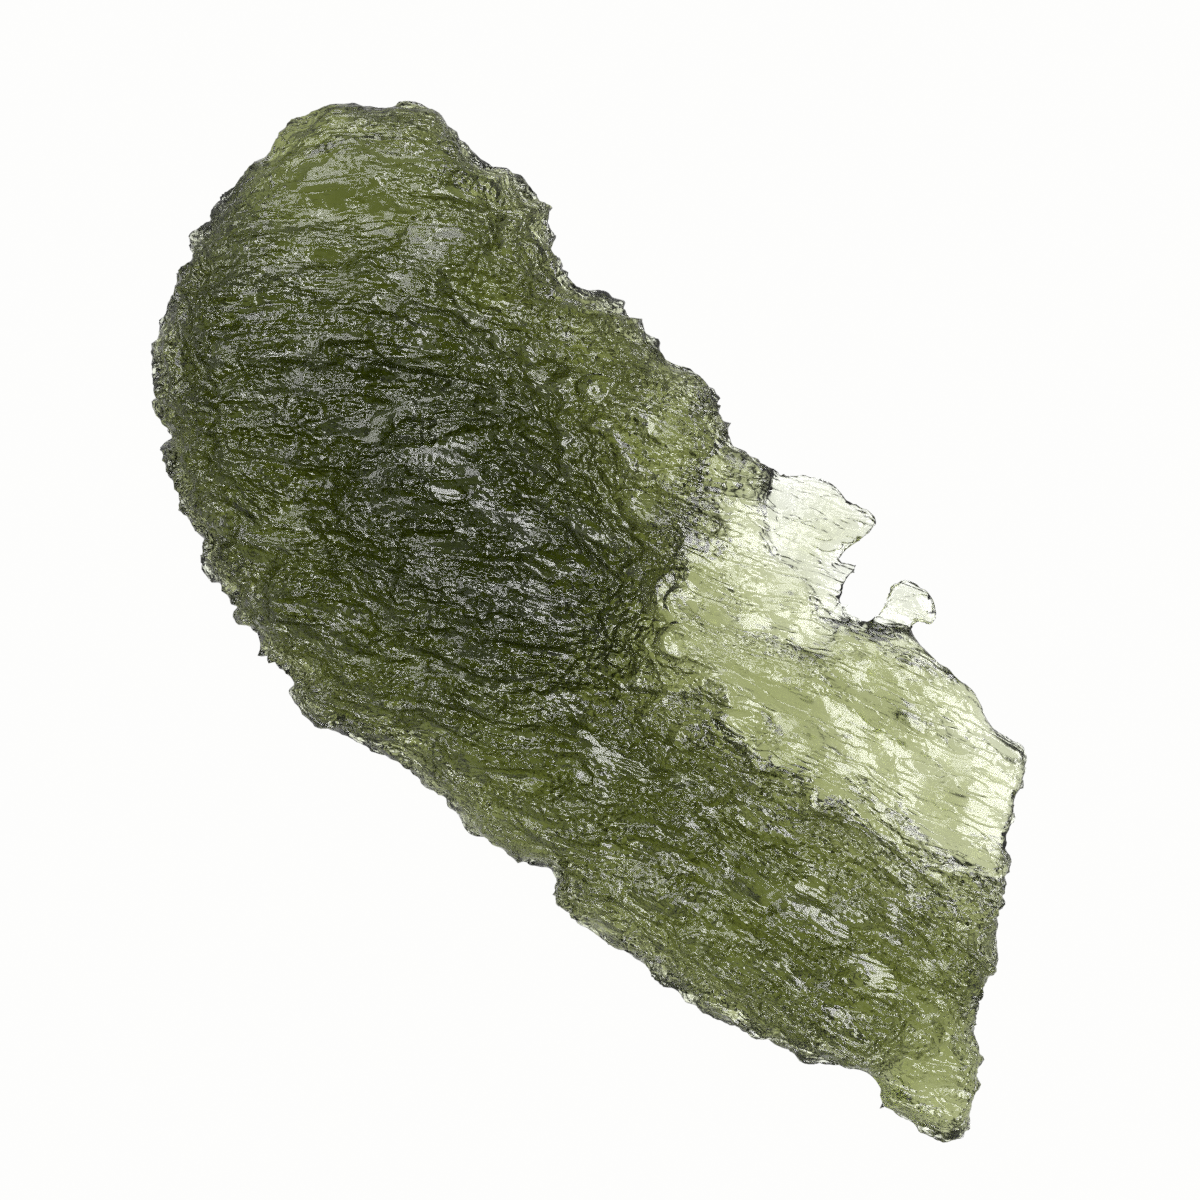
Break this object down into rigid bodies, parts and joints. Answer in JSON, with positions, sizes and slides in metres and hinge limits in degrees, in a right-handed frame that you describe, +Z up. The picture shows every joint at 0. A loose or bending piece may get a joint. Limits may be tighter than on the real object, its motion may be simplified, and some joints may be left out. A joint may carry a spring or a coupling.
{
  "type": "moldavite",
  "caption": "Flat, long piece of etched green natural glass with ridges and pits all over, thick at its round end, with thin clear flakes on one edge and a broken end; lies on a flat spot.",
  "frame": {"origin": "centre of the stone's box seen from above, on the ground under the small flat spot that it rests on", "axes": "+X along the stone from the thick round end to the thin broken end, +Y towards the edge with the clear flakes, +Z up out of the face that the picture shows"},
  "size_m": [0.0378, 0.0176, 0.007],
  "materials": {
    "moldavite_glass": "bottle-green natural glass, see-through where thin and nearly black where thick, etched into fine glinting ridges and pits"
  },
  "bodies": {
    "root": {"moldavite": "moldavite_glass"}
  },
  "joints": []
}
